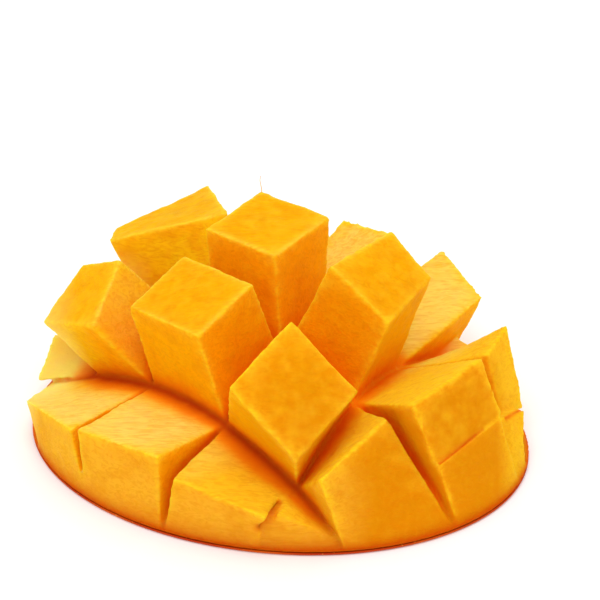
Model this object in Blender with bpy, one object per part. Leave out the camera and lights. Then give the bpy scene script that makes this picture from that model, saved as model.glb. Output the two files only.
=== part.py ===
"""Cubed mango half: a cheek of mango scored into cubes and turned inside out, lying on its skin side.

It is one solid. The skin is a low dome with a flat underside, the score lines run over that dome,
and a tapered cube of flesh stands on each of its cells. The cubes lean outwards, more so towards the rim.
Run it with blender --background --python part.py, or from Blender's text editor. Metres, +Z up.
"""

import math
from collections import namedtuple

import bmesh
import bpy
from mathutils import Matrix, Vector

MM = 0.001
NAME = "mango_half"

# Outline and dome of the turned-out skin in millimetres: the crown's height over the rim, how flat the
# dome's middle is, the rim's thickness and how far the underside is pulled in
LENGTH = 112.5
WIDTH = 82.0
CROWN = 20.5
FALL = 1.7
RIM = 1.5
UNDERCUT = 0.8

# Score lines, in millimetres from the crossing in front of the centre: columns are cut along one
# direction and rows along the other, and the score lines meet a little off the square
START = (-7.7, -18.2)
COLUMNS_RUN = math.radians(-30.5)
ROWS_RUN = math.radians(70.0)
COLUMN_CUTS = (-64.0, -54.0, -48.0, -40.0, -31.0, -22.5, 0.0, 21.0, 34.0, 39.0, 64.0)
ROW_CUTS = (-26.0, 0.0, 22.5, 32.0, 41.5, 56.0, 70.0)

# A cube's root keeps this clear of the score lines, is sunk this deep in the dome, stays inside this
# share of the outline and never lies lower than this; a rim cube's foot stands just inside the edge
GROOVE = 0.25
SUNK = 0.3
ROOT_OUT = 0.97
LOWEST = 1.0
FOOT_OUT = 0.994

# Grid of each cube's faces, so that its foot can follow the round rim
FACE_CUTS = 3

# Points closer together than this are one point
MERGE = 0.0001

# One row for each cube of flesh: the score lines that bound it, how far its cut face leans from level and
# the compass direction it leans towards (degrees from +X), the height of its middle above the skin, the
# length and width of its cut face, its turn, how far it drifts along and across its columns, the side where
# a cube at the rim runs down to the skin's edge, and how far the corners of its cut face lie off a
# rectangle, pulled out and in by turns, along and across
FIELDS = "name columns rows lean toward height long wide turn drift foot uneven"
Cube = namedtuple("Cube", FIELDS, defaults=((0, 0),))
CUBES = (
    Cube("centre", (6, 7), (1, 2), 51, -48, 22, 21, 20.5, 5.5, (-8, -3.5), None),
    Cube("centre left", (5, 6), (1, 2), 16, -142, 24, 21, 18, -1, (1, 0), None),
    Cube("left", (3, 5), (1, 2), 37.5, -156, 24, 15.5, 17, 2, (-1, 0.5), None, (-1.5, 0.5)),
    Cube("left end", (0, 3), (1, 2), 65, -167, 15.5, 13, 11.5, -12, (0.5, -5.5), "left"),
    Cube("top", (5, 6), (2, 4), 2, 90, 28.5, 19, 20.5, 7, (-1, 1.5), None),
    Cube("top left", (3, 5), (2, 4), 24, 150.5, 28.5, 25.5, 18, 48.5, (-0.5, 0), None, (-1, 5)),
    Cube("centre right", (6, 7), (2, 4), 32, -17, 27.5, 15.5, 21, 9, (-5.5, 1.5), None, (-1, -0.5)),
    Cube("back", (5, 6), (4, 6), 54, 70, 26, 14, 15, -2, (4.5, 2), "back"),
    Cube("back right", (6, 7), (4, 6), 83, 44, 22.5, 16.5, 14, 13, (-3, -3.5), "back"),
    Cube("right", (7, 9), (2, 4), 66, -36, 18.5, 14, 21.5, -2, (-2.5, 0.5), None),
    Cube("right end", (9, 10), (2, 4), 77, -34, 5, 15, 20.5, 8, (-3, 0.5), "right"),
    Cube("far right", (7, 9), (4, 5), 71, -21, 16, 17, 9, 12, (-3, 2), None, (1.5, -0.5)),
    Cube("far right end", (9, 10), (4, 5), 58, -26, 6, 15, 8, 4, (1.5, 0.5), "right"),
    Cube("front right", (7, 10), (1, 2), 73, -28, 3.5, 22, 23, 1, (-4, -5), "right"),
    Cube("front 1", (1, 5), (0, 1), 83, -137, 11.5, 21.5, 16.5, -1, (6.5, -1.5), "front"),
    Cube("front 2", (5, 6), (0, 1), 85, -111, 12, 21, 17, 3, (-2, 1), "front"),
    Cube("front 3", (6, 7), (0, 1), 83, -101, 9.5, 22, 11.5, 1.5, (-0.5, -0.5), "front"),
    Cube("front 4", (7, 8), (0, 1), 90, -76, 2.5, 17, 7.5, -3, (2, 0.5), "front", (-1, -0.5)),
    Cube("back right end", (7, 9), (5, 6), 75, 55, 6, 17, 9, 0, (0, 0), "back"),
    Cube("back left", (4, 5), (4, 5), 62, 100, 10, 15, 12, 0, (-2, 0), "back"),
    Cube("left back", (2, 3), (2, 3), 62, 150, 8, 10, 15, 0, (0, 2), "left"),
)


def clear_scene():
    for obj in list(bpy.data.objects):
        bpy.data.objects.remove(obj, do_unlink=True)


def collection(name):
    made = bpy.data.collections.new(name)
    bpy.context.scene.collection.children.link(made)
    return made


def flesh_material():
    material = bpy.data.materials.new("mango_flesh")
    material.use_nodes = True
    shader = material.node_tree.nodes["Principled BSDF"]
    shader.inputs["Base Color"].default_value = (0.95, 0.48, 0.04, 1.0)
    shader.inputs["Roughness"].default_value = 0.4
    shader.inputs["Metallic"].default_value = 0.0
    material.diffuse_color = (0.95, 0.48, 0.04, 1.0)
    return material


def outwards(x, y):
    """How far out a place in plan lies: 0 at the centre, 1 on the rim."""
    return math.hypot(2 * x / LENGTH, 2 * y / WIDTH)


def skin_height(out):
    """Height of the dome above its rim."""
    return CROWN * max(0.0, 1 - out**FALL)


def on_skin(column, row, depth=0.0):
    """The place on the dome this far along the columns' and the rows' run, kept inside the rim."""
    x = START[0] + column * math.cos(COLUMNS_RUN) + row * math.cos(ROWS_RUN)
    y = START[1] + column * math.sin(COLUMNS_RUN) + row * math.sin(ROWS_RUN)
    out = outwards(x, y)
    inside = 1.0 if depth == 0 else ROOT_OUT
    if out > inside:
        x, y, out = x * inside / out, y * inside / out, inside
    return Vector((x, y, max(LOWEST, RIM + skin_height(out) - depth)))


def on_rim(place):
    """The place just inside the skin's edge, straight outwards from this one."""
    out = outwards(place.x, place.y) / FOOT_OUT
    return Vector((place.x / out, place.y / out, RIM))


def between(corners, across, up):
    """A point of the face with these four corners."""
    low = corners[0].lerp(corners[1], across)
    high = corners[3].lerp(corners[2], across)
    return low.lerp(high, up)


def score_lines(cube, clear=0.0):
    """The columns and rows between which the cube stands, less a clear strip beside each score line."""
    first, last = (COLUMN_CUTS[n] for n in cube.columns)
    near, far = (ROW_CUTS[n] for n in cube.rows)
    return first + clear, last - clear, near + clear, far - clear


def base_corners(cube):
    first, last, near, far = score_lines(cube)
    return [on_skin(first, near), on_skin(last, near), on_skin(last, far), on_skin(first, far)]


def cap_corners(cube):
    """The corners of the cut face: leaned, turned and drifted over the middle of the cube's cell."""
    base = base_corners(cube)
    middle = sum(base, Vector()) / 4
    lean, toward = math.radians(cube.lean), math.radians(cube.toward)
    normal = Vector((math.sin(lean) * math.cos(toward), math.sin(lean) * math.sin(toward), math.cos(lean)))
    run = base[1] - base[0] + base[2] - base[3]
    run = (run - normal * run.dot(normal)).normalized()
    run = Matrix.Rotation(math.radians(cube.turn), 3, normal) @ run
    side = normal.cross(run)
    centre = middle + normal * cube.height + run * cube.drift[0] + side * cube.drift[1]
    signs = ((-1, -1), (1, -1), (1, 1), (-1, 1))
    along, across = run * cube.long / 2, side * cube.wide / 2
    pull = run * cube.uneven[0] + side * cube.uneven[1]
    return [centre + along * a + across * b + pull * a * b for a, b in signs]


def from_ridge(cube, across, up):
    """How far below its ridge a point of a rim cube lies, and where its ridge and foot are on its grid."""
    return {
        "front": (1 - up, (across, 1.0), (across, 0.0)),
        "back": (up, (across, 0.0), (across, 1.0)),
        "left": (1 - across, (1.0, up), (0.0, up)),
        "right": (across, (0.0, up), (1.0, up)),
    }[cube.foot]


def cap_point(cube, corners, across, up):
    """A point of the cut face. At the rim the face runs down to the round edge of the skin."""
    if cube.foot is None:
        return between(corners, across, up)
    down, ridge, foot = from_ridge(cube, across, up)
    return between(corners, *ridge).lerp(on_rim(between(corners, *foot)), down)


def base_point(cube, corners, across, up):
    """A point of the cube's root, sunk into the dome and kept off the score lines."""
    first, last, near, far = score_lines(cube, GROOVE)
    if cube.foot is None:
        return on_skin(first + (last - first) * across, near + (far - near) * up, SUNK)
    down, ridge, foot = from_ridge(cube, across, up)
    inner = on_skin(first + (last - first) * ridge[0], near + (far - near) * ridge[1], SUNK)
    outer = on_rim(between(corners, *foot)) * ROOT_OUT
    place = inner.lerp(outer, down)
    height = RIM + skin_height(outwards(place.x, place.y)) - SUNK
    return Vector((place.x, place.y, max(LOWEST, height)))


def mesh_object(name, bm, group):
    mesh = bpy.data.meshes.new(name)
    bmesh.ops.recalc_face_normals(bm, faces=bm.faces[:])
    bm.to_mesh(mesh)
    bm.free()
    obj = bpy.data.objects.new(name, mesh)
    group.objects.link(obj)
    return obj


def make_cube(cube, group):
    """A cube with gridded faces, its points moved between the root on the dome and the leaning cut face."""
    bm = bmesh.new()
    bmesh.ops.create_cube(bm, size=2.0)
    bmesh.ops.subdivide_edges(bm, edges=bm.edges[:], cuts=FACE_CUTS, use_grid_fill=True)
    corners = cap_corners(cube)
    for vertex in bm.verts:
        across, up, high = ((value + 1) / 2 for value in vertex.co)
        root = base_point(cube, corners, across, up)
        cap = cap_point(cube, corners, across, up)
        vertex.co = root.lerp(cap, high) * MM
    return mesh_object(cube.name, bm, group)


def make_skin(group):
    """A sphere whose upper half becomes the dome and whose lower half is the flat underside."""
    bm = bmesh.new()
    bmesh.ops.create_uvsphere(bm, u_segments=72, v_segments=32, radius=1.0)
    equator = -0.01
    for vertex in bm.verts:
        out = min(1.0, math.hypot(vertex.co.x, vertex.co.y))
        bearing = math.atan2(vertex.co.y, vertex.co.x)
        x = LENGTH / 2 * math.cos(bearing)
        y = WIDTH / 2 * math.sin(bearing)
        if vertex.co.z > equator:
            vertex.co = Vector((x * out, y * out, RIM + skin_height(out))) * MM
        else:
            pulled_in = out * (1 - UNDERCUT / Vector((x, y)).length)
            vertex.co = Vector((x * pulled_in, y * pulled_in, 0.0)) * MM
    return mesh_object(NAME, bm, group)


def join(body, group):
    """One Boolean union of the cubes with the dome, applied."""
    union = body.modifiers.new("cubes", "BOOLEAN")
    union.operation = "UNION"
    union.operand_type = "COLLECTION"
    union.collection = group
    union.solver = "EXACT"
    graph = bpy.context.evaluated_depsgraph_get()
    joined = bpy.data.meshes.new_from_object(body.evaluated_get(graph))
    body.modifiers.clear()
    body.data = joined
    for obj in list(group.objects):
        bpy.data.objects.remove(obj, do_unlink=True)


def shell_from(face):
    """The faces that hang together with this one."""
    shell = {face}
    reached = [face]
    while reached:
        edges = reached.pop().edges
        fresh = {other for edge in edges for other in edge.link_faces} - shell
        shell |= fresh
        reached.extend(fresh)
    return shell


def fill_sealed_hollows(bm):
    """Keeps the largest shell. What a union seals between two cubes is a speck, and is filled."""
    left = set(bm.faces)
    shells = []
    while left:
        shell = shell_from(next(iter(left)))
        shells.append(shell)
        left -= shell
    shells.sort(key=lambda shell: sum(face.calc_area() for face in shell))
    for shell in shells[:-1]:
        corners = {vertex for face in shell for vertex in face.verts}
        bmesh.ops.delete(bm, geom=list(corners), context="VERTS")


def finish(body):
    """Closes the joined mesh and centres it in plan over the origin."""
    bm = bmesh.new()
    bm.from_mesh(body.data)
    bmesh.ops.remove_doubles(bm, verts=bm.verts[:], dist=MERGE * MM)
    fill_sealed_hollows(bm)
    for axis in (0, 1):
        places = [vertex.co[axis] for vertex in bm.verts]
        middle = (min(places) + max(places)) / 2
        for vertex in bm.verts:
            vertex.co[axis] -= middle
    bm.to_mesh(body.data)
    bm.free()


def main():
    clear_scene()
    mango = collection(NAME)
    cubes = collection("cubes")
    cubes.hide_render = True
    body = make_skin(mango)
    for cube in CUBES:
        made = make_cube(cube, cubes)
        made.display_type = "WIRE"
        made.hide_render = True
    bpy.context.view_layer.update()
    join(body, cubes)
    finish(body)
    body.data.materials.clear()
    body.data.materials.append(flesh_material())


if __name__ == "__main__":
    main()
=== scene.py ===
"""Looks of the cubed mango half: moist flesh, the peel under it, a loose fibre, the light and the camera."""

import math

import bmesh
import bpy
import numpy as np
from mathutils import Matrix, Vector, noise
from mathutils.bvhtree import BVHTree

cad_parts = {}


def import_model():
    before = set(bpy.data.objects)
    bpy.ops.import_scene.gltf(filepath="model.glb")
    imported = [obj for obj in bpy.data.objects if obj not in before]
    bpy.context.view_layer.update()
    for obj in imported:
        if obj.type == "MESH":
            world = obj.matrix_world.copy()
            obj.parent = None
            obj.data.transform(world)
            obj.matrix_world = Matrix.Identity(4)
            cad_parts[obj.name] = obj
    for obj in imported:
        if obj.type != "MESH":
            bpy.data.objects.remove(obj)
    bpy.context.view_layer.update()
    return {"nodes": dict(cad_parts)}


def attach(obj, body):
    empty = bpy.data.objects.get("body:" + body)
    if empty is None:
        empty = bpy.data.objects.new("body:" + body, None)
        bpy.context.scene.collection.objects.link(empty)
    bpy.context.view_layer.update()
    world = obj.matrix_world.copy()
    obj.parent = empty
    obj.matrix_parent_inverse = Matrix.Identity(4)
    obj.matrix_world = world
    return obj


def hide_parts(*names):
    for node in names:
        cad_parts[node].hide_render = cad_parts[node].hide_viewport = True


MM = 0.001

# Camera: compass bearing and height in degrees, distance and target in millimetres, and the photo's scale
CAMERA_BEARING = 12.0
CAMERA_HEIGHT = 35.0
CAMERA_DISTANCE = 650.0
CAMERA_SIDEWAYS = 4.35
CAMERA_TARGET = (0.0, -2.6, 36.2)
PICTURE_WIDTH = 600
PIXELS_PER_MM = 4.6
SENSOR = 36.0

# Flesh: grain of the fine mesh, passes that round its edges, passes that soften the border of a cut face,
# and the most triangles it may have
GRAIN = 0.36
ROUNDING_PASSES = 20
ROUNDING_PUSH = 0.7
ROUNDING_PULL = 0.6
CUT_PASSES = 6
MOST_TRIANGLES = 190000

# Relief of the flesh, as height and size in millimetres: uneven faces, pulp, and torn places, which are
# higher by this many times on the ragged stretches of the edges
UNEVEN = 0.3
UNEVEN_SIZE = 8.0
PULP = 0.14
PULP_SIZE = 3.0
TORN = 0.06
TORN_SIZE = 1.5
TORN_AT_EDGES = 3
RAGGED_SIZE = 6.0
RAGGED = (0.0, 0.5)

# How closed in a place is: share of flesh in a ball round it, counted on a grid of this cell size
CELL = 0.6
MARGIN = 12.0
NARROW = 1.1
WIDE = 3.6

# A facet of the solid is what meets at less than this angle; a cut face keeps this far above the skin
FACET_BEND = math.radians(14)
CUT_CLEAR = 3.0

# Turned-out skin under the flesh: length, width, height of its crown over the rim, how flat the dome's
# middle is, and the rim's thickness
LENGTH = 112.5
WIDTH = 82.0
CROWN = 20.5
FALL = 1.7
RIM = 1.5

# Peel: the section of its dish from the flat underside up, as distance in from the rim and height
PEEL_PROFILE = ((1.1, 0.0), (0.7, 0.06), (0.35, 0.25), (0.22, 0.55), (0.35, 0.72), (1.2, 0.55))
PEEL_TURNS = 180

# The flesh lies in the peel: its underside is this high, and it is squeezed below the rim's height
FLESH_LOW = 0.45

# Short cracks where a score didn't open: points of each as place and width in millimetres, and its depth
CRACKS = (
    (((8.1, -39.8, 11.0, 0.45), (6.8, -44.3, 10.5, 0.8), (5.4, -46.3, 8.0, 1.1)), 1.5),
    (((40.0, -26.6, 16.2, 0.35), (43.5, -21.1, 16.9, 0.45), (47.1, -14.8, 17.3, 0.3)), 0.4),
    (((50.7, -3.5, 12.7, 0.4), (53.4, 2.0, 11.4, 0.45)), 0.3),
)

# Kinds of place on the flesh, each from where it begins to where it is full. First those told by the share
# of flesh round a place, in the narrow count for edges and slits and in the wide one for the others
TORN_EDGE_SHARE = (0.42, 0.22)
# Painted highlight: a thin pale line along cut edges
EDGE_HIGHLIGHT_SHARE = (0.47, 0.26)
# Painted shade in narrow slits
SLIT_SHARE = (0.62, 0.95)
# Painted highlight: a broad pale band round edges, this strong at most
BROAD_HIGHLIGHT_SHARE = (0.45, 0.2)
BROAD_HIGHLIGHT_MOST = 0.5
# Painted shade: deep red-orange in closed-in places and low down near the rim
RECESS_SHADE_SHARE = (0.52, 0.84)
LOW_DOWN_SHARE = (0.49, 0.60)
# Painted dark shade along the bottom of the front score
CORE_SHARE = (0.5, 0.62)

# Then those told by the height over the skin or the table in millimetres, how far out a place lies, from 0
# in the middle to 1 at the rim, and how much it faces up or away from the middle
CLEAR_OF_RIM = (2.0, 6.0)
# Painted shade low down near the rim in closed-in places
LOW_DOWN_MOST = 0.9
LOW_DOWN_FADE = 4.0
LOW_DOWN_OUT = (0.96, 0.82)
# Painted dark shade along the bottom of the front score, kept weaker in slits
CORE_FADE = 1.0
CORE_OUT = (0.98, 0.86)
CORE_LEFT_IN_SLITS = 0.2
# Faces at the rim: paler flesh with a painted bounce of light from the floor
RIM_FACE_OUT = (0.8, 0.95)
RIM_FACE_OUTWARD = (0.15, 0.5)
# Faces that face up get painted light from above, partly also paler flesh
FACING_UP = (0.5, 0.8)
FACING_UP_HEIGHT = (0.5, 5.0)
BY_PEEL_LEVEL = 1.7
BY_PEEL_OUT = (0.9, 0.97)
BY_PEEL_FADE_LEFT = 2.0
BY_PEEL_FADE_RIGHT = 1.0
BY_PEEL_TURN = (0.0, 35.0)

# Loose fibre that stands up from the back corner of the top cube
FIBRE = (
    (-10.9, 28.3, 42.6),
    (-11.0, 28.6, 43.6),
    (-11.3, 29.0, 44.6),
    (-11.5, 29.1, 45.6),
    (-11.4, 29.3, 46.7),
)
FIBRE_WIDTH = 0.26


def deselect():
    bpy.ops.object.select_all(action="DESELECT")


def activate(obj):
    deselect()
    obj.select_set(True)
    bpy.context.view_layer.objects.active = obj


def apply_modifiers(obj):
    activate(obj)
    for modifier in list(obj.modifiers):
        bpy.ops.object.modifier_apply(modifier=modifier.name)


def positions(mesh):
    values = np.empty(len(mesh.vertices) * 3)
    mesh.vertices.foreach_get("co", values)
    return values.reshape(-1, 3)


def normals(mesh):
    values = np.empty(len(mesh.vertices) * 3)
    mesh.vertex_normals.foreach_get("vector", values)
    return values.reshape(-1, 3)


def move_points(mesh, places):
    mesh.vertices.foreach_set("co", places.reshape(-1))
    mesh.update()


def smoothed(mesh, places, passes):
    """The places after each point has moved to the mean of its neighbours this many times."""
    ends = np.empty(len(mesh.edges) * 2, dtype=np.int64)
    mesh.edges.foreach_get("vertices", ends)
    first, second = ends.reshape(-1, 2).T
    count = np.bincount(first, minlength=len(places)) + np.bincount(second, minlength=len(places))
    for _ in range(passes):
        total = np.stack(
            [
                np.bincount(first, places[second, axis], len(places))
                + np.bincount(second, places[first, axis], len(places))
                for axis in range(3)
            ],
            axis=1,
        )
        places = total / count[:, None]
    return places


def keep_as(mesh, name, values):
    attribute = mesh.attributes.new(name, "FLOAT", "POINT")
    attribute.data.foreach_set("value", values.astype(np.float32))


def merged(mesh):
    """The solid's faces as one closed bmesh."""
    bm = bmesh.new()
    bm.from_mesh(mesh)
    bmesh.ops.remove_doubles(bm, verts=bm.verts[:], dist=0.001 * MM)
    bm.faces.ensure_lookup_table()
    return bm


def fine_copy(node):
    """The node's solid, merged, with an even fine mesh."""
    flesh = node.copy()
    flesh.data = node.data.copy()
    flesh.name = flesh.data.name = "flesh"
    bpy.context.scene.collection.objects.link(flesh)
    bm = merged(flesh.data)
    bm.to_mesh(flesh.data)
    bm.free()
    remesh = flesh.modifiers.new("grain", "REMESH")
    remesh.mode = "VOXEL"
    remesh.voxel_size = GRAIN * MM
    apply_modifiers(flesh)
    return flesh


def facet_from(face):
    """The faces that meet this one, and each other, at less than the bend of a facet."""
    facet = {face}
    reached = [face]
    while reached:
        for edge in reached.pop().edges:
            if edge.calc_face_angle(math.pi) > FACET_BEND:
                continue
            fresh = set(edge.link_faces) - facet
            facet |= fresh
            reached.extend(fresh)
    return facet


def cut_faces(bm, centre):
    """For each face of the solid, 1 where it belongs to the cut face of a cube and 0 elsewhere."""
    cut = np.zeros(len(bm.faces))
    left = set(bm.faces)
    while left:
        facet = facet_from(next(iter(left)))
        left -= facet
        corners = np.array([vertex.co for face in facet for vertex in face.verts])
        height = above_skin(corners, centre)[0]
        if height.min() > CUT_CLEAR:
            cut[[face.index for face in facet]] = 1.0
    return cut


def nearest(bm, values, places):
    """The value of the nearest face of the solid to each place."""
    tree = BVHTree.FromBMesh(bm)
    return values[[tree.find_nearest(Vector(place))[2] for place in places]]


def flesh_cells(bm):
    """An even grid, 1 inside the solid and 0 outside, and the place of its first corner in millimetres."""
    tree = BVHTree.FromBMesh(bm)
    corners = np.array([vertex.co for vertex in bm.verts]) / MM
    low = corners.min(axis=0) - MARGIN
    counts = np.ceil((corners.max(axis=0) + MARGIN - low) / CELL).astype(int)
    cells = np.zeros(counts)
    top = (low[2] + counts[2] * CELL) * MM
    down = Vector((0, 0, -1))
    edge = int(MARGIN / CELL) - 1
    for column in range(edge, counts[0] - edge):
        for row in range(edge, counts[1] - edge):
            x, y = ((low[:2] + (np.array((column, row)) + 0.5) * CELL) * MM).tolist()
            heights = []
            hit = tree.ray_cast(Vector((x, y, top)), down)[0]
            while hit is not None:
                heights.append(hit.z / MM)
                hit = tree.ray_cast(hit + down * 0.001 * MM, down)[0]
            for upper, lower in zip(heights[::2], heights[1::2]):
                first, last = ((value - low[2]) / CELL for value in (lower, upper))
                cells[column, row, round(first) : round(last)] = 1.0
    return cells, low


def blurred(cells, size):
    """The grid after each cell has taken the mean of what lies within about this many millimetres."""
    waves = np.fft.rfftn(cells)
    for axis, count in enumerate(cells.shape):
        steps = np.fft.rfftfreq(count, CELL) if axis == 2 else np.fft.fftfreq(count, CELL)
        fade = np.exp(-2 * (math.pi * size * steps) ** 2)
        waves *= fade.reshape([-1 if number == axis else 1 for number in range(3)])
    return np.fft.irfftn(waves, s=cells.shape, axes=(0, 1, 2))


def sampled(cells, low, places):
    """The grid's values at these places, mixed between the eight cells round each."""
    spot = (places / MM - low) / CELL - 0.5
    first = np.clip(np.floor(spot).astype(int), 0, np.array(cells.shape) - 2)
    share = spot - first
    total = np.zeros(len(places))
    for corner in np.ndindex(2, 2, 2):
        weight = np.prod(np.where(np.array(corner) == 1, share, 1 - share), axis=1)
        total += weight * cells[tuple((first + corner).T)]
    return total


def relief(places, size, seed):
    """Smooth noise of about this size in millimetres, from -1 to 1."""
    shift = Vector((seed * 17.3, seed * 5.1, seed * 11.7))
    return np.array([noise.noise(Vector(place) / (size * MM) + shift) for place in places])


def above_skin(places, centre):
    """Height over the turned-out skin in millimetres, and how far out each place lies, 1 at the rim."""
    along = 2 * (places[:, 0] / MM - centre[0]) / LENGTH
    across = 2 * (places[:, 1] / MM - centre[1]) / WIDTH
    out = np.hypot(along, across)
    dome = RIM + CROWN * np.clip(1 - out**FALL, 0, None)
    return places[:, 2] / MM - dome, out


def rim_centre(node):
    """The middle of the flat underside in millimetres, off the box's, as cubes lean past the rim."""
    corners = positions(node.data)
    under = corners[corners[:, 2] < 0.1 * MM] / MM
    return (under.min(axis=0) + under.max(axis=0))[:2] / 2


def rounded(mesh, places, passes):
    """Rounds edges without shrinking: each smoothing pass is followed by one that pushes back."""
    for _ in range(passes):
        places = places + ROUNDING_PUSH * (smoothed(mesh, places, 1) - places)
        places = places - ROUNDING_PULL * (smoothed(mesh, places, 1) - places)
    return places


def crack_share(places, points):
    """How much of a crack lies at each place, from 0 to 1 on its line."""
    share = np.zeros(len(places))
    for start, end in zip(points, points[1:]):
        first, last = np.array(start[:3]), np.array(end[:3])
        run = last - first
        spot = np.clip((places / MM - first) @ run / (run @ run), 0, 1)
        away = np.linalg.norm(places / MM - first - spot[:, None] * run, axis=1)
        share = np.maximum(share, np.exp(-((away / (start[3] + spot * (end[3] - start[3]))) ** 2)))
    return share


def step(values, start, end):
    """A smooth rise from 0 at start to 1 at end, which may be the lower of the two."""
    share = np.clip((values - start) / (end - start), 0, 1)
    return share * share * (3 - 2 * share)


def clear_of_rim(places):
    return step(places[:, 2] / MM, *CLEAR_OF_RIM)


def carve(mesh, places, outwards, narrow):
    """Gives the flesh its relief and its cracks, and lifts its underside into the peel."""
    clear = clear_of_rim(places)
    ragged = step(relief(places, RAGGED_SIZE, 3), *RAGGED)
    torn_edge = step(narrow, *TORN_EDGE_SHARE) * clear
    lift = relief(places, UNEVEN_SIZE, 1) * UNEVEN
    lift += relief(places, PULP_SIZE, 4) * PULP
    lift += relief(places, TORN_SIZE, 2) * TORN * (1 + TORN_AT_EDGES * torn_edge * ragged)
    for points, depth in CRACKS:
        lift -= crack_share(places, points) * depth
    carved = places + outwards * (lift * clear * MM)[:, None]
    below_rim = step(RIM - carved[:, 2] / MM, 0.0, 0.01)
    carved[:, 2] += below_rim * (1 - carved[:, 2] / (RIM * MM)) * FLESH_LOW * MM
    move_points(mesh, carved)


def keep_kinds(mesh, places, outwards, narrow, wide, cut, centre):
    """Keeps how much each point is of each kind of place, from 0 to 1, for the colours of the flesh, among
    them the places where shade and highlights are painted.
    """
    height, out = above_skin(places, centre)
    height = np.clip(height, 0, None)
    clear = clear_of_rim(places)
    from_middle = places[:, :2] / MM - centre
    from_middle /= np.linalg.norm(from_middle, axis=1)[:, None] + 1e-9
    outward = (outwards[:, :2] * from_middle).sum(axis=1)
    cut = smoothed(mesh, np.repeat(cut[:, None], 3, axis=1), CUT_PASSES)[:, 0]
    # Cracks, which are carved and also get painted shade
    crack = np.max([crack_share(places, points) for points, _ in CRACKS], axis=0)
    # Narrow slits, where shade is painted deep red
    slit = step(narrow, *SLIT_SHARE)
    # Where shade is painted low down near the rim
    low_down = LOW_DOWN_MOST * np.exp(-height / LOW_DOWN_FADE) * step(out, *LOW_DOWN_OUT)
    # Where dark shade is painted along the bottom of the front score
    core = np.exp(-height / CORE_FADE) * step(out, *CORE_OUT) * step(wide, *CORE_SHARE)
    over_peel = np.clip(places[:, 2] / MM - BY_PEEL_LEVEL, 0, None)
    to_right = step(places[:, 0] / MM, *BY_PEEL_TURN)
    fade = BY_PEEL_FADE_LEFT + (BY_PEEL_FADE_RIGHT - BY_PEEL_FADE_LEFT) * to_right
    kinds = {
        "cut": cut,
        # faces at the rim: paler flesh with a painted bounce of light from the floor
        "rim_face": step(out, *RIM_FACE_OUT) * step(outward, *RIM_FACE_OUTWARD) * (1 - cut),
        # faces that face up: painted light from above, partly paler flesh
        "facing_up": step(outwards[:, 2], *FACING_UP) * step(height, *FACING_UP_HEIGHT) * (1 - cut),
        # painted highlights along edges, a thin line and a broad band
        "edge": step(narrow, *EDGE_HIGHLIGHT_SHARE) * clear * (1 - crack),
        "broad_highlight": BROAD_HIGHLIGHT_MOST * step(wide, *BROAD_HIGHLIGHT_SHARE) * clear,
        # painted shade: closed-in places, narrow slits, the bottom of the front score and cracks
        "recess_shade": np.maximum(step(wide, *RECESS_SHADE_SHARE), low_down * step(wide, *LOW_DOWN_SHARE)),
        "slit": slit,
        "core": core * (1 - (1 - CORE_LEFT_IN_SLITS) * slit),
        "crack": np.sqrt(crack),
        "by_peel": np.exp(-over_peel / fade) * step(out, *BY_PEEL_OUT),
    }
    for name, values in kinds.items():
        keep_as(mesh, name, values)


def thin_out(flesh):
    """Takes the mesh down to the most triangles that it may have."""
    triangles = len(flesh.data.polygons) * 2
    if triangles > MOST_TRIANGLES:
        thin = flesh.modifiers.new("thin", "DECIMATE")
        thin.ratio = MOST_TRIANGLES / triangles
        apply_modifiers(flesh)


def make_flesh(node, centre):
    """A fine, rounded copy of the solid with the relief of cut flesh."""
    flesh = fine_copy(node)
    mesh = flesh.data
    solid = merged(node.data)
    cut = nearest(solid, cut_faces(solid, centre), positions(mesh))
    cells, low = flesh_cells(solid)
    solid.free()
    places = rounded(mesh, positions(mesh), ROUNDING_PASSES)
    move_points(mesh, places)
    outwards = normals(mesh)
    narrow = sampled(blurred(cells, NARROW), low, places)
    wide = sampled(blurred(cells, WIDE), low, places)
    carve(mesh, places, outwards, narrow)
    keep_kinds(mesh, places, outwards, narrow, wide, cut, centre)
    thin_out(flesh)
    activate(flesh)
    bpy.ops.object.shade_smooth()
    return flesh


def start_editing(obj):
    activate(obj)
    bpy.ops.object.mode_set(mode="EDIT")
    bpy.ops.mesh.select_all(action="SELECT")


def make_peel(centre):
    """A thin dish of peel under the flesh, raised ring by ring from its flat underside to its lip."""
    deselect()
    bpy.ops.mesh.primitive_circle_add(vertices=PEEL_TURNS, radius=1.0, fill_type="NGON", location=(0, 0, 0))
    peel = bpy.context.object
    peel.name = peel.data.name = "peel"
    start_editing(peel)
    inset, level = PEEL_PROFILE[0]
    bpy.ops.transform.resize(value=((LENGTH / 2 - inset) * MM, (WIDTH / 2 - inset) * MM, 1.0))
    for next_inset, next_level in PEEL_PROFILE[1:]:
        rise = (0, 0, (next_level - level) * MM)
        bpy.ops.mesh.extrude_region_move(TRANSFORM_OT_translate={"value": rise})
        along = (LENGTH / 2 - next_inset) / (LENGTH / 2 - inset)
        across = (WIDTH / 2 - next_inset) / (WIDTH / 2 - inset)
        bpy.ops.transform.resize(value=(along, across, 1.0))
        inset, level = next_inset, next_level
    bpy.ops.mesh.select_all(action="SELECT")
    bpy.ops.mesh.normals_make_consistent(inside=False)
    bpy.ops.transform.translate(value=(centre[0] * MM, centre[1] * MM, 0))
    bpy.ops.object.mode_set(mode="OBJECT")
    activate(peel)
    bpy.ops.object.shade_smooth_by_angle(angle=math.radians(40))
    return peel


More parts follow.
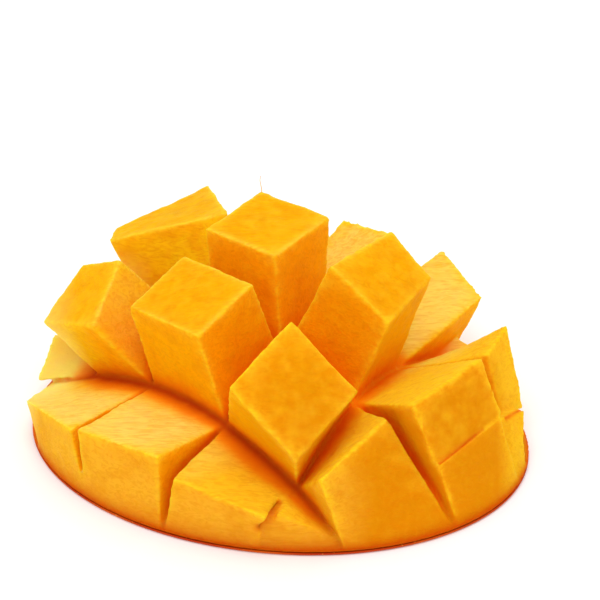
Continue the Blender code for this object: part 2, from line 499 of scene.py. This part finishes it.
def make_fibre():
    """A loose fibre, drawn out point by point from its root in the flesh to a fine tip."""
    deselect()
    bpy.ops.mesh.primitive_circle_add(
        vertices=8, radius=FIBRE_WIDTH / 2 * MM, fill_type="NGON", location=Vector(FIBRE[0]) * MM
    )
    fibre = bpy.context.object
    fibre.name = fibre.data.name = "loose_fibre"
    activate(fibre)
    bpy.ops.object.transform_apply(location=True, rotation=True, scale=True)
    start_editing(fibre)
    for lower, upper in zip(FIBRE, FIBRE[1:]):
        rise = [(high - low) * MM for low, high in zip(lower, upper)]
        bpy.ops.mesh.extrude_region_move(TRANSFORM_OT_translate={"value": rise})
        bpy.ops.transform.resize(value=(0.8, 0.8, 1.0), center_override=Vector(upper) * MM)
    bpy.ops.mesh.select_all(action="SELECT")
    bpy.ops.mesh.normals_make_consistent(inside=False)
    bpy.ops.object.mode_set(mode="OBJECT")
    bpy.ops.object.shade_smooth_by_angle(angle=math.radians(60))
    return fibre


class Finish:
    """A new material and short ways to add its nodes."""

    def __init__(self, name, roughness):
        self.material = bpy.data.materials.new(name)
        self.material.use_nodes = True
        self.tree = self.material.node_tree
        self.shader = self.tree.nodes["Principled BSDF"]
        self.shader.inputs["Roughness"].default_value = roughness
        self.place = self.tree.nodes.new("ShaderNodeTexCoord").outputs["Object"]

    def link(self, start, end):
        self.tree.links.new(start, end)

    def attribute(self, name):
        node = self.tree.nodes.new("ShaderNodeAttribute")
        node.attribute_name = name
        return node.outputs["Fac"]

    def noise(self, size, stretch=(1, 1, 1), turn=(0, 0, 0), detail=3.0, distortion=0.0):
        """Noise of this size in millimetres, stretched along its turned axes."""
        mapping = self.tree.nodes.new("ShaderNodeMapping")
        mapping.vector_type = "TEXTURE"
        mapping.inputs["Scale"].default_value = Vector(stretch) * size * MM
        mapping.inputs["Rotation"].default_value = turn
        self.link(self.place, mapping.inputs["Vector"])
        node = self.tree.nodes.new("ShaderNodeTexNoise")
        node.inputs["Scale"].default_value = 1.0
        node.inputs["Detail"].default_value = detail
        node.inputs["Distortion"].default_value = distortion
        self.link(mapping.outputs["Vector"], node.inputs["Vector"])
        return node.outputs["Fac"]

    def along(self, direction):
        """How far a point lies along this direction, in metres."""
        node = self.tree.nodes.new("ShaderNodeVectorMath")
        node.operation = "DOT_PRODUCT"
        node.inputs[1].default_value = direction
        self.link(self.place, node.inputs[0])
        return node.outputs["Value"]

    def both(self, first, second):
        """The product of two shares."""
        node = self.tree.nodes.new("ShaderNodeMath")
        node.operation = "MULTIPLY"
        self.link(first, node.inputs[0])
        self.link(second, node.inputs[1])
        return node.outputs["Value"]

    def span(self, value, low, high, start=0.0, end=1.0):
        node = self.tree.nodes.new("ShaderNodeMapRange")
        node.inputs["From Min"].default_value = low
        node.inputs["From Max"].default_value = high
        node.inputs["To Min"].default_value = start
        node.inputs["To Max"].default_value = end
        self.link(value, node.inputs["Value"])
        return node.outputs["Result"]

    def blend(self, share, under, over):
        """Colour over another by a share; a colour is a tuple or a node's output."""
        node = self.tree.nodes.new("ShaderNodeMix")
        node.data_type = "RGBA"
        self.link(share, node.inputs["Factor"])
        for socket, colour in (("A", under), ("B", over)):
            if isinstance(colour, tuple):
                node.inputs[socket].default_value = (*colour, 1.0)
            else:
                self.link(colour, node.inputs[socket])
        return node.outputs["Result"]

    def bump(self, height, depth, strength=1.0, under=None):
        node = self.tree.nodes.new("ShaderNodeBump")
        node.inputs["Strength"].default_value = strength
        node.inputs["Distance"].default_value = depth * MM
        self.link(height, node.inputs["Height"])
        if under:
            self.link(under, node.inputs["Normal"])
        return node.outputs["Normal"]


# Colours of the flesh: cut faces, scored walls and the yellower walls at the back left, faces at the rim,
# paler flesh with a painted bounce of light from the floor, walls that face up, yellower partly as painted
# light from above, the pale ones among them, the palest place at the far left, the painted highlight on cut
# edges, also the colour of pale flecks, the riper front and right, deeper orange partly as painted shade,
# painted shade in closed-in places, in narrow slits and in cracks, painted dark shade along the deepest line
# of the front score, and the flesh next to the peel
CUT = (0.93, 0.40, 0.001)
WALL = (0.99, 0.39, 0.001)
BACK_LEFT_WALL = (0.98, 0.62, 0.006)
# Paler flesh of the rim faces with a painted bounce of light from the floor
RIM_FACE = (0.91, 0.45, 0.025)
# Yellow: painted light from above on faces that face up, and the yellower flesh at the far right
YELLOW = (0.96, 0.55, 0.015)
# Pale: paler flesh near the rim and painted light from above, on faces that face up
PALE = (0.97, 0.66, 0.110)
CREAM = (0.99, 0.75, 0.150)
# Painted highlight on cut edges; the same colour also makes pale flecks of pulp and clouds on cut faces
EDGE_HIGHLIGHT_AND_FLECK = (0.96, 0.58, 0.018)
# Deeper orange of riper flesh, also in patches and streaks; on the front and right partly painted shade
RIPE_TONE_AND_SHADE = (0.74, 0.25, 0.001)
# Painted shade in closed-in places, a deep red-orange
RECESS_SHADE = (0.98, 0.22, 0.002)
# Painted shade in narrow slits, a deep red
SLIT_SHADE = (0.98, 0.20, 0.003)
# Painted shade in the cracks
CRACK_SHADE = (0.72, 0.13, 0.002)
# Painted dark shade along the deepest line of the front score
GROOVE_SHADE = (0.50, 0.050, 0.002)
BY_PEEL = (0.62, 0.085, 0.001)


# Where these set in, in metres along a direction
BACK_LEFT = (0.028, 0.038)
FAR_LEFT = (-0.041, -0.049)
FAR_LEFT_HEIGHT = (0.030, 0.016)
FAR_RIGHT = (0.046, 0.051)
FRONT_LEFT = (0.028, 0.020)
FRONT_SCORE = (-0.008, -0.020)
# The front right side: riper flesh, and painted shade on that side
RIPE_AND_SHADE_SIDE = (0.014, 0.052)
STALK_SIDE = (0.034, 0.012)

# Uneven colour: the noise values from and to which it goes, and the shares of the colour there
PATCHES = (0.45, 0.70, 0.0, 0.4)
# Breaks up the painted edge highlight
EDGE_HIGHLIGHT_BREAKUP = (0.35, 0.65, 0.15, 0.85)
STREAKS = (0.42, 0.66, 0.0, 0.4)
SPECKS = (0.45, 0.75, 0.0, 0.12)
CLOUDS = (0.40, 0.75)
CLOUDS_MOST = 0.3


def flesh_colour(finish, streaks, pulp):
    """The colour of the flesh from its place, its kinds of place and uneven noise, with painted shade in
    hollows and painted highlights on edges.
    """
    to_front_right = finish.along((1, -1, 0))
    back_left = finish.span(finish.along((-1, 1, 0)), *BACK_LEFT)
    low = finish.span(finish.along((0, 0, 1)), *FAR_LEFT_HEIGHT)
    far_left = finish.both(finish.span(finish.along((1, -0.4, 0)), *FAR_LEFT), low)
    far_right = finish.span(finish.along((1, 0.3, 0)), *FAR_RIGHT, 0.0, 0.8)
    front_score = finish.span(finish.along((1, 1, 0)), *FRONT_SCORE, 0.1, 1.0)
    # Riper flesh on the front and right, partly painted shade of that side
    ripe_and_shade = finish.span(to_front_right, *RIPE_AND_SHADE_SIDE, 0.0, 0.9)
    front_left = finish.span(finish.along((1, 0, 0)), *FRONT_LEFT, 0.0, 0.8)
    by_stalk = finish.span(to_front_right, *STALK_SIDE)
    patches = finish.noise(7.0, detail=2.0, distortion=0.4)
    # Noise that breaks up the painted edge highlight
    highlight_breakup = finish.span(finish.noise(3.2, detail=3.0, distortion=0.8), *EDGE_HIGHLIGHT_BREAKUP)
    clouds = finish.noise(3.0, detail=1.5)
    cut = finish.attribute("cut")
    facing_up = finish.attribute("facing_up")
    colour = finish.blend(back_left, WALL, BACK_LEFT_WALL)
    colour = finish.blend(finish.span(cut, 0.0, 0.9), colour, CUT)
    colour = finish.blend(ripe_and_shade, colour, RIPE_TONE_AND_SHADE)
    # Faces at the rim at the front left: paler flesh with a painted bounce of light from the floor
    colour = finish.blend(finish.both(finish.attribute("rim_face"), front_left), colour, RIM_FACE)
    colour = finish.blend(finish.span(patches, *PATCHES), colour, RIPE_TONE_AND_SHADE)
    # Faces that face up: painted light from above, partly paler flesh
    colour = finish.blend(facing_up, colour, YELLOW)
    colour = finish.blend(finish.both(facing_up, by_stalk), colour, PALE)
    colour = finish.blend(far_right, colour, YELLOW)
    # Painted highlights along edges, a thin line and a broad band, broken up by noise
    colour = finish.blend(finish.both(finish.attribute("edge"), highlight_breakup), colour, EDGE_HIGHLIGHT_AND_FLECK)
    colour = finish.blend(finish.both(finish.attribute("broad_highlight"), highlight_breakup), colour, EDGE_HIGHLIGHT_AND_FLECK)
    colour = finish.blend(finish.span(streaks, *STREAKS), colour, RIPE_TONE_AND_SHADE)
    colour = finish.blend(finish.span(pulp, *SPECKS), colour, EDGE_HIGHLIGHT_AND_FLECK)
    clouds_on_cut = finish.both(finish.span(clouds, *CLOUDS), cut)
    colour = finish.blend(finish.span(clouds_on_cut, 0.0, 1.0, 0.0, CLOUDS_MOST), colour, EDGE_HIGHLIGHT_AND_FLECK)
    colour = finish.blend(far_left, colour, CREAM)
    # Painted shade in closed-in places, narrow slits, cracks and along the bottom of the front score
    colour = finish.blend(finish.span(finish.attribute("recess_shade"), 0.0, 0.9), colour, RECESS_SHADE)
    colour = finish.blend(finish.attribute("slit"), colour, SLIT_SHADE)
    colour = finish.blend(finish.attribute("crack"), colour, CRACK_SHADE)
    colour = finish.blend(finish.both(finish.attribute("core"), front_score), colour, GROOVE_SHADE)
    return finish.blend(finish.attribute("by_peel"), colour, BY_PEEL)


def flesh_finish():
    finish = Finish("moist_flesh", 0.5)
    shader = finish.shader
    shader.inputs["Subsurface Weight"].default_value = 0.8
    shader.inputs["Subsurface Radius"].default_value = (1.0, 0.30, 0.04)
    shader.inputs["Subsurface Scale"].default_value = 5.0 * MM
    shader.inputs["Specular IOR Level"].default_value = 0.01
    streaks = finish.noise(1.0, stretch=(5, 1, 1), turn=(0, 0, 0.25), detail=3.0, distortion=1.5)
    pulp = finish.noise(1.6, detail=4.0, distortion=0.5)
    finish.link(flesh_colour(finish, streaks, pulp), shader.inputs["Base Color"])
    finish.link(finish.span(pulp, 0.3, 0.7, 0.42, 0.62), shader.inputs["Roughness"])
    normal = finish.bump(streaks, 0.25, 0.7)
    normal = finish.bump(pulp, 0.3, 0.6, under=normal)
    finish.link(normal, shader.inputs["Normal"])
    return finish.material


# Colours of the peel, red, blushed and in its dots, and of the loose fibre, darker and lighter
PEEL_RED = (0.50, 0.035, 0.002)
PEEL_BLUSH = (0.66, 0.110, 0.004)
PEEL_DOT = (0.80, 0.32, 0.05)
FIBRE_DARK = (0.90, 0.42, 0.03)
FIBRE_LIGHT = (0.95, 0.62, 0.16)


def peel_finish():
    finish = Finish("waxy_peel", 0.6)
    blush = finish.span(finish.noise(24.0), 0.35, 0.65)
    dots = finish.span(finish.noise(0.8, detail=0.0), 0.72, 0.80, 0.0, 0.5)
    colour = finish.blend(dots, finish.blend(blush, PEEL_RED, PEEL_BLUSH), PEEL_DOT)
    finish.link(colour, finish.shader.inputs["Base Color"])
    finish.shader.inputs["Specular IOR Level"].default_value = 0.1
    finish.link(finish.bump(finish.noise(1.5), 0.05, 0.5), finish.shader.inputs["Normal"])
    return finish.material


def fibre_finish():
    finish = Finish("fibre_strand", 0.5)
    colour = finish.blend(finish.noise(1.0), FIBRE_DARK, FIBRE_LIGHT)
    finish.link(colour, finish.shader.inputs["Base Color"])
    finish.shader.inputs["Subsurface Weight"].default_value = 0.3
    finish.shader.inputs["Subsurface Scale"].default_value = 0.5 * MM
    return finish.material


# Floor and light: sizes and places in metres, the floor's white and faint glow, and each light's strength
FLOOR_SIZE = 6.0
FLOOR_WHITE = (0.98, 0.98, 0.98, 1)
FLOOR_GLOW = 0.05
SKY_STRENGTH = 0.85
SOFTBOX_SIZE = 0.9
SOFTBOX_WATTS = 5.5
SOFTBOX_PLACE = (0.02, -0.36, 1.2)
SOFTBOX_AIM = (0, 0, 0.02)


def make_floor():
    deselect()
    bpy.ops.mesh.primitive_plane_add(size=FLOOR_SIZE, location=(0, 0, 0))
    floor = bpy.context.object
    floor.name = "floor"
    material = bpy.data.materials.new("white_floor")
    material.use_nodes = True
    shader = material.node_tree.nodes["Principled BSDF"]
    shader.inputs["Base Color"].default_value = FLOOR_WHITE
    shader.inputs["Emission Color"].default_value = (1, 1, 1, 1)
    shader.inputs["Emission Strength"].default_value = FLOOR_GLOW
    shader.inputs["Roughness"].default_value = 0.8
    floor.data.materials.append(material)


def make_light():
    world = bpy.data.worlds.new("white studio")
    world.use_nodes = True
    world.node_tree.nodes["Background"].inputs["Color"].default_value = (1, 1, 1, 1)
    world.node_tree.nodes["Background"].inputs["Strength"].default_value = SKY_STRENGTH
    bpy.context.scene.world = world
    lamp = bpy.data.lights.new("softbox", "AREA")
    lamp.shape = "DISK"
    lamp.size = SOFTBOX_SIZE
    lamp.energy = SOFTBOX_WATTS
    softbox = bpy.data.objects.new("softbox", lamp)
    bpy.context.scene.collection.objects.link(softbox)
    softbox.location = SOFTBOX_PLACE
    softbox.rotation_euler = (Vector(SOFTBOX_AIM) - softbox.location).to_track_quat("-Z", "Y").to_euler()


def make_camera():
    bearing = math.radians(CAMERA_BEARING)
    height = math.radians(CAMERA_HEIGHT)
    towards = Vector(
        (math.sin(bearing) * math.cos(height), -math.cos(bearing) * math.cos(height), math.sin(height))
    )
    right = Vector((math.cos(bearing), math.sin(bearing), 0.0))
    target = right * CAMERA_SIDEWAYS + Vector(CAMERA_TARGET)
    lens = bpy.data.cameras.new("camera")
    lens.sensor_width = SENSOR
    lens.lens = SENSOR * PIXELS_PER_MM * CAMERA_DISTANCE / PICTURE_WIDTH
    camera = bpy.data.objects.new("camera", lens)
    bpy.context.scene.collection.objects.link(camera)
    stand = Matrix((right, towards.cross(right), towards)).transposed().to_4x4()
    stand.translation = (target + towards * CAMERA_DISTANCE) * MM
    camera.matrix_world = stand
    bpy.context.scene.camera = camera


def main():
    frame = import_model()
    node = frame["nodes"]["mango_half"]
    centre = rim_centre(node)
    flesh = make_flesh(node, centre)
    peel = make_peel(centre)
    fibre = make_fibre()
    for piece, finish, slot in (
        (flesh, flesh_finish(), "mango_flesh"),
        (peel, peel_finish(), "mango_skin"),
        (fibre, fibre_finish(), "mango_flesh"),
    ):
        piece.data.materials.clear()
        piece.data.materials.append(finish)
        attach(piece, "root")
        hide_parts("mango_half")
    make_floor()
    make_light()
    make_camera()
    bpy.context.scene.view_settings.view_transform = "Standard"


main()
